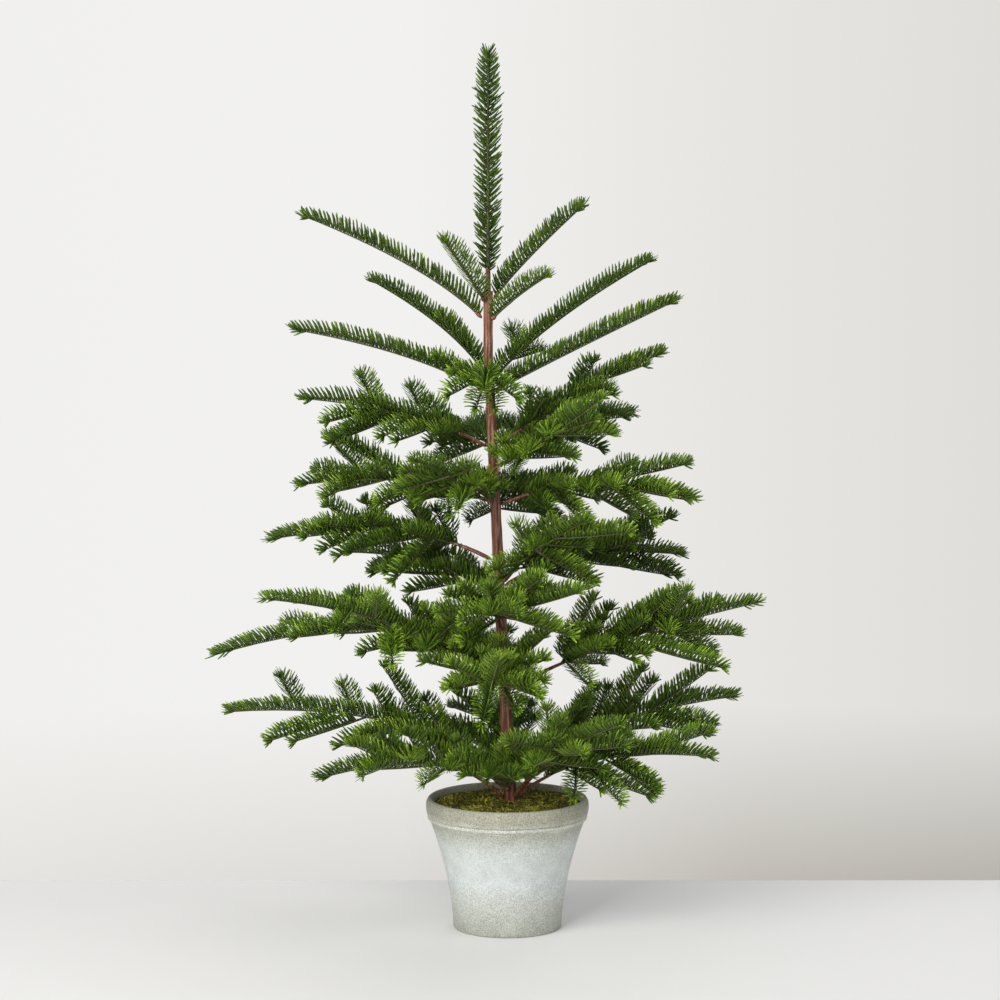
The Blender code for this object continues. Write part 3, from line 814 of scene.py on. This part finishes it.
def make_branch(name, spec, materials):
    slope, reach, tip, bare, shoots = spec
    rng = np.random.default_rng(seed_of(name))
    azimuth, line = branch_line(name, slope, reach * MM, POT_TOP + tip * MM)
    start = (MOULDED_NEEDLE_START if bare is None else bare * MM) / line_length(line)
    # Branches heading to the front get a lighter tint and those heading back a darker one: painted
    # light, with a random spread on top
    tint = 0.48 - 0.15 * math.sin(math.radians(azimuth)) + rng.uniform(-0.08, 0.08)
    batches = [shoot_needles(line, start, rng, tint)]
    lines = [line]
    if name[0] in FILLER_SLOPES:
        shoots = shoots + filler_shoots(name, shoots, start, rng)
    shoots = shoots + EXTRA_SHOOTS.get(name, [])
    for share, turn, side_length, side_slope in shoots:
        side = side_line(line, azimuth, share, turn, side_length, side_slope)
        # Side shoots turned to the front are lighter still: painted light, with a random spread on
        # top
        towards_front = max(0.0, -math.sin(math.radians(azimuth + turn)))
        shade = tint + 0.14 * towards_front + rng.uniform(-0.12, 0.18)
        batches.append(shoot_needles(side, 0.10, rng, shade))
        lines.append(side)
    needles = [np.concatenate(parts) for parts in zip(*batches)]
    piece = build_needles(f"needles_{name}", needles, materials["needles"])
    body = f"branch_{name}"
    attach(piece, body)
    if bare is None:
        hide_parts(body)
    else:
        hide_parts(f"{body}_needles")
    make_stem(name, line, start, bare is None, materials, body)
    for number, shoot in enumerate(lines):
        make_spine(f"spine_{name}_{number}", shoot, start if number == 0 else 0.0, materials, body)


def make_stem(name, line, start, moulded, materials, body):
    """The taped wire from the trunk to the first needles, swollen where the tape starts."""
    places = line(np.linspace(0, start + 0.03, STEM_STEPS))
    radii = STEM_RADIUS * (1 - 0.35 * np.linspace(0, 1, STEM_STEPS) ** 2)
    radii[0] *= 0.35
    radii[1] *= 0.92
    places[0] = places[0] - unit(places[1] - places[0]) * STEM_RADIUS * 0.9
    stem = tube(f"stem_{name}", places, radii, STEM_SIDES, materials["tape"], 2, 0.18)
    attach(stem, body)
    if not moulded:
        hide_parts(f"{body}_stem")


def make_spine(name, line, start, materials, body):
    shares = np.linspace(start, 1.0 - SHOOT_END_INSET / line_length(line), STEM_STEPS)
    radii = SPINE_RADIUS * (1.15 - 0.65 * np.linspace(0, 1, STEM_STEPS))
    spine = tube(name, line(shares), radii, 6, materials["spine"])
    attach(spine, body)


# Leader, trunk, pot and moss


def make_leader(materials):
    """The upright top shoot, with needles in a spiral all round it."""
    low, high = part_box("leader")
    x = (low[0] + high[0]) / 2
    y = (low[1] + high[1]) / 2
    rng = np.random.default_rng(11)
    foot, top = low[2], high[2] - LEADER_TIP_DROP

    def line(share):
        share = np.asarray(share, float)
        height = foot + (top - foot) * share
        return np.stack([np.full_like(share, x), np.full_like(share, y), height], -1)

    length = top - foot - LEADER_BARE_LENGTH
    bare = LEADER_BARE_LENGTH / (top - foot)
    count = int(length / LEADER_NEEDLE_STEP)
    s = (np.arange(count) + 0.5) / count
    root = line(bare + s * (1 - bare))
    angle = np.arange(count) * 2.39996
    out = np.stack([np.cos(angle), np.sin(angle), np.zeros(count)], 1)
    rise = np.radians(rng.normal(24, 7, count) + 30 * past(s, 0.93))
    towards = np.cos(rise)[:, None] * out + np.sin(rise)[:, None] * UP
    grown = np.clip(0.55 + s * 6, 0, 1) * (1 - 0.30 * past(s, 0.8))
    size = LEADER_NEEDLE_LENGTH * grown * rng.normal(1, LENGTH_SPREAD, count)
    curl = 0.24 * UP - 0.05 * out
    tint = 0.36 + rng.normal(0, 0.12, count)
    tip = tip_needles(line, rng, 0.4)
    rows = (root, towards, size, curl, np.tile(UP, (count, 1)), tint)
    needles = [np.concatenate(pair) for pair in zip(rows, tip)]
    piece = build_needles("leader_needles", needles, materials["needles"])
    places, radii = line(np.linspace(0, 0.10, 10)), np.linspace(0.0030, 0.0024, 10)
    stem = tube("leader_stem", places, radii, STEM_SIDES, materials["tape"])
    places, radii = line(np.linspace(0.08, 1, 24)), np.linspace(0.0022, 0.0008, 24)
    spine = tube("leader_spine", places, radii, 8, materials["spine"])
    for made, slot in ((piece, "needles"), (stem, "brown_tape"), (spine, "needles")):
        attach(made, "base")
    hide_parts("leader")


def make_trunk(materials):
    """Tape wound over a bundle of wires: a lobed section that twists slowly as it rises."""
    low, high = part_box("trunk_tape")
    base_x = high[0] - TRUNK_BASE_RADIUS
    top_x = low[0] + TRUNK_TOP_RADIUS
    heights = np.linspace(low[2], high[2], 220)
    share = past(heights, LEAN_START_HEIGHT, LEAN_END_HEIGHT)
    x = base_x + (top_x - base_x) * share
    radii = TRUNK_BASE_RADIUS + (TRUNK_TOP_RADIUS - TRUNK_BASE_RADIUS) * share
    wave = 1 + 0.018 * np.sin(heights * 260) + 0.02 * np.sin(heights * 97 + 1)
    places = np.stack([x, np.zeros_like(x), heights], 1)
    trunk = tube("trunk", places, radii * wave, 40, materials["tape"], 5, 0.22, 1.3)
    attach(trunk, "base")
    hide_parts("trunk_tape")


def smooth_noise(x, y, z, seed):
    """Soft sums of waves in fixed random directions, from -1 to 1."""
    rng = np.random.default_rng(seed)
    total = np.zeros_like(x)
    weight = 1.0
    for octave in range(4):
        for _ in range(5):
            direction = rng.normal(size=3)
            phase = rng.uniform(0, 6.28)
            along = direction[0] * x + direction[1] * y + direction[2] * z
            total += weight * np.sin(along * 2**octave + phase)
        weight *= 0.55
    return total / 9.0


def turned_points(outline, sides):
    turn = np.linspace(0, 2 * math.pi, sides, endpoint=False)
    radius = np.array([point[0] for point in outline])[:, None]
    height = np.array([point[1] for point in outline])[:, None] * np.ones((1, sides))
    return radius * np.cos(turn), radius * np.sin(turn), height


def grid_quads(rows, sides):
    i, j = np.meshgrid(np.arange(rows - 1), np.arange(sides), indexing="ij")
    k = (j + 1) % sides
    corners = [i * sides + j, (i + 1) * sides + j, (i + 1) * sides + k, i * sides + k]
    return np.stack(corners, -1).reshape(-1, 4)


def pot_outline():
    """(radius, height) points from the middle of the floor inside, over the lip and down."""
    rim_bottom = POT_TOP - RIM_HEIGHT
    wall_top = rim_bottom - 2 * BEAD_RADIUS
    middle = (POT_TOP + rim_bottom) / 2
    lip = POT_WALL / 2

    def side(height):
        flare = (height / wall_top) ** POT_FLARE
        return POT_BASE_RADIUS + (POT_SHOULDER_RADIUS - POT_BASE_RADIUS) * flare

    points = [(0.002, POT_FLOOR)]
    points += [(side(z) - POT_WALL, z) for z in np.linspace(POT_FLOOR, wall_top, 8)]
    for angle in np.radians(np.linspace(180, 0, 12)):
        radius = RIM_RADIUS - RIM_BULGE - lip + lip * math.cos(angle)
        points.append((radius, POT_TOP - lip + lip * math.sin(angle)))
    for height in np.linspace(POT_TOP - lip - 0.001, rim_bottom, 10):
        away = (height - middle) / RIM_HEIGHT * 2
        points.append((RIM_RADIUS - RIM_BULGE * away**2, height))
    for angle in np.radians(np.linspace(75, -80, 9)):
        radius = POT_SHOULDER_RADIUS + BEAD_RADIUS * math.cos(angle)
        points.append((radius, rim_bottom - BEAD_RADIUS + BEAD_RADIUS * math.sin(angle)))
    points += [(side(z), z) for z in np.linspace(wall_top - 0.001, 0.0015, 26)]
    points += [(POT_BASE_RADIUS - 0.0005, 0.0004), (POT_BASE_RADIUS - 0.002, 0.0)]
    return points + [(0.002, 0.0)]


def make_pot(material):
    outline = pot_outline()
    x, y, z = turned_points(outline, POT_SIDES)
    wear = smooth_noise(x * 160, y * 160, z * 160, 3)
    swell = 1 + 0.0016 * wear / np.maximum(np.hypot(x, y) / 0.08, 0.3)
    swell = np.where(z > 0.002, swell, 1.0)
    points = np.stack([x * swell, y * swell, z], -1).reshape(-1, 3)
    quads = grid_quads(len(outline), POT_SIDES)
    middle = len(points)
    floor = fan(middle, 0, POT_SIDES)
    under = fan(middle + 1, middle - POT_SIDES, POT_SIDES)[:, ::-1]
    points = np.concatenate([points, [[0, 0, POT_FLOOR], [0, 0, 0]]])
    pot = add_mesh("pot_shell", points, quads, np.concatenate([floor, under]), material)
    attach(pot, "base")
    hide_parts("pot")


def moss_height(x, y, low, high):
    """A lumpy dome, highest round the trunk."""
    edge = (high[0] - low[0]) / 2
    away = np.hypot(x, y) / edge
    wide = smooth_noise(x * 130, y * 130, 0 * x, 21) * 0.0016
    fine = smooth_noise(x * 420, y * 420, 0 * x, 22) * 0.0010
    return high[2] - 0.0024 - 0.0020 * away**2 + wide + fine


def make_moss(material, strand_material):
    low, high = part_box("moss")
    edge = (high[0] - low[0]) / 2
    radius = edge * np.linspace(0.02, 1.0, MOSS_RINGS)[:, None]
    turn = np.linspace(0, 2 * math.pi, MOSS_SIDES, endpoint=False)[None, :]
    x, y = radius * np.cos(turn), radius * np.sin(turn)
    z = moss_height(x, y, low, high)
    skirt = np.stack([x[-1], y[-1], np.full(MOSS_SIDES, low[2])], -1)
    skirt[:, :2] *= 0.95
    points = np.concatenate([np.stack([x, y, z], -1).reshape(-1, 3), skirt])
    quads = grid_quads(MOSS_RINGS + 1, MOSS_SIDES)
    middle = len(points)
    cap = fan(middle, 0, MOSS_SIDES)
    under = fan(middle + 1, middle - MOSS_SIDES, MOSS_SIDES)[:, ::-1]
    points = np.concatenate([points, [[0, 0, z[0].mean()], [0, 0, low[2]]]])
    bed = add_mesh("moss_bed", points, quads, np.concatenate([cap, under]), material)
    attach(bed, "base")
    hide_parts("moss")
    make_moss_strands(low, high, edge, strand_material)


def make_moss_strands(low, high, edge, material):
    """Short curled fibres that stand up from the bed in every direction."""
    rng = np.random.default_rng(5)
    count = MOSS_STRANDS
    away = edge * 0.965 * np.sqrt(rng.uniform(0.004, 1, count))
    turn = rng.uniform(0, 2 * math.pi, count)
    x, y = away * np.cos(turn), away * np.sin(turn)
    root = np.stack([x, y, moss_height(x, y, low, high) - 0.0006], 1)
    lean = rng.uniform(0, 2 * math.pi, count)
    rise = rng.uniform(0.15, 1.3, count)
    towards = np.stack([np.cos(lean) * np.cos(rise), np.sin(lean) * np.cos(rise), np.sin(rise)], 1)
    inward = np.stack([-np.cos(turn), -np.sin(turn), 0 * turn], 1)
    near_edge = np.where(away > edge * 0.9, 1.0, 0.0)[:, None]
    towards = unit(towards + near_edge * inward)
    size = rng.uniform(*STRAND_LENGTHS, count)
    curl = rng.normal(0, 0.35, (count, 3))
    curl[:, 2] = -np.abs(curl[:, 2])
    clumps = 0.50 * smooth_noise(x * 150, y * 150, 0 * x, 9)
    tint = np.clip(0.42 + clumps + rng.normal(0, 0.2, count), 0, 1)
    flat = rng.normal(0, 1, (count, 3))
    strands = build_needles("moss_strands", (root, towards, size, curl, flat, tint), material)
    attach(strands, "base")


def dress_hidden_nodes():
    block = hidden_material("block_cement", (0.28, 0.27, 0.25), (0.42, 0.41, 0.39), 0.92, 0.0)
    wire = hidden_material("core_wire", (0.30, 0.29, 0.28), (0.48, 0.47, 0.45), 0.42, 1.0)
    for name, material in (("cement_block", block), ("trunk_core", wire)):
        if frame["nodes"][name].data.materials:
            frame["nodes"][name].material_slots[0].material = material


# Stage


def make_stage():
    """A pale table top that ends behind the tree, and a round wall far outside it that glows with
    painted light.
    """
    material, tree, shader = start_material("pale_table")
    stops = [(0.3, (0.805, 0.800, 0.788)), (0.7, (0.825, 0.820, 0.808))]
    colour = ramp(tree, noise(tree, 3.0), stops)
    tree.links.new(colour, shader.inputs["Base Color"])
    shader.inputs["Roughness"].default_value = 0.9
    half = TABLE_WIDTH / 2
    corners = [(-half, -half), (half, -half), (half, TABLE_BACK), (-half, TABLE_BACK)]
    points = np.array([(x, y, 0.0) for x, y in corners])
    add_mesh("table_top", points, [(0, 1, 2, 3)], (), material)
    turn = np.linspace(0, 2 * math.pi, WALL_SIDES, endpoint=False)
    ring = np.stack([np.cos(turn), np.sin(turn), 0 * turn], 1) * WALL_RADIUS
    points = np.concatenate([ring - UP * WALL_RADIUS, ring + UP * WALL_RADIUS])
    side = np.arange(WALL_SIDES)
    after = (side + 1) % WALL_SIDES
    quads = np.stack([side, after, after + WALL_SIDES, side + WALL_SIDES], 1)
    wall = add_mesh("wall", points, quads, (), wall_material())
    wall.visible_diffuse = False
    wall.visible_glossy = False
    wall.visible_shadow = False


def wall_material():
    """A wall that glows with painted light: paler to the left and above, with painted shade low
    down on the right.
    """
    material, tree, shader = start_material("wall_painted_light")
    coords = node(tree, "ShaderNodeTexCoord", (-1300, 0))
    split = node(tree, "ShaderNodeSeparateXYZ", (-1100, 0))
    tree.links.new(coords.outputs["Object"], split.inputs["Vector"])
    across = node(tree, "ShaderNodeMapRange", (-900, 100))
    across.inputs["From Min"].default_value = -1.5
    across.inputs["From Max"].default_value = 1.5
    tree.links.new(split.outputs["X"], across.inputs["Value"])
    upward = node(tree, "ShaderNodeMapRange", (-900, -200))
    upward.inputs["From Min"].default_value = -1.5
    upward.inputs["From Max"].default_value = -0.9
    tree.links.new(split.outputs["Z"], upward.inputs["Value"])
    high = ramp(
        tree,
        across.outputs["Result"],
        [
            (0.0, (0.875, 0.87, 0.855)),
            (0.4, (0.885, 0.88, 0.865)),
            (0.7, (0.80, 0.79, 0.765)),
            (1.0, (0.735, 0.725, 0.695)),
        ],
    )
    # The lower colours, greyer on the right: painted shade
    low = ramp(
        tree,
        across.outputs["Result"],
        [
            (0.0, (0.775, 0.76, 0.73)),
            (0.4, (0.70, 0.68, 0.65)),
            (0.75, (0.49, 0.465, 0.42)),
            (1.0, (0.42, 0.40, 0.36)),
        ],
    )
    colour = mix(tree, upward.outputs["Result"], low, high)
    shader.inputs["Base Color"].default_value = (0, 0, 0, 1)
    shader.inputs["Specular IOR Level"].default_value = 0.0
    tree.links.new(colour, shader.inputs["Emission Color"])
    shader.inputs["Emission Strength"].default_value = 1.0
    return material


def area_light(name, place, aim, size, power, colour):
    data = bpy.data.lights.new(name, "AREA")
    data.shape = "RECTANGLE"
    data.size, data.size_y = size
    data.energy = power
    data.color = colour
    light = bpy.data.objects.new(name, data)
    light.location = place
    light.rotation_euler = (Vector(aim) - Vector(place)).to_track_quat("-Z", "Y").to_euler()
    light.visible_camera = False
    bpy.context.scene.collection.objects.link(light)


def make_lights():
    for light in LIGHTS:
        area_light(*light)
    world = bpy.data.worlds.new("soft_room")
    world.use_nodes = True
    background = world.node_tree.nodes["Background"]
    background.inputs["Color"].default_value = ROOM_COLOUR
    background.inputs["Strength"].default_value = ROOM_STRENGTH
    bpy.context.scene.world = world


def make_camera():
    data = bpy.data.cameras.new("camera")
    data.lens = LENS
    data.sensor_width = 36.0
    camera = bpy.data.objects.new("camera", data)
    camera.location = (AIM_X, -CAMERA_DISTANCE, CAMERA_HEIGHT)
    aim = Vector((AIM_X, 0, AIM_HEIGHT)) - camera.location
    camera.rotation_euler = aim.to_track_quat("-Z", "Y").to_euler()
    scene = bpy.context.scene
    scene.collection.objects.link(camera)
    scene.camera = camera
    scene.view_settings.view_transform = "Standard"


def main():
    make_camera()
    make_stage()
    make_lights()
    materials = {"needles": needle_material(), "spine": spine_material(), "tape": tape_material()}
    make_pot(cement_material(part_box("pot")))
    make_moss(moss_material(), moss_strand_material())
    make_trunk(materials)
    make_leader(materials)
    for name, spec in BRANCHES.items():
        make_branch(name, spec, materials)
    dress_hidden_nodes()


main()
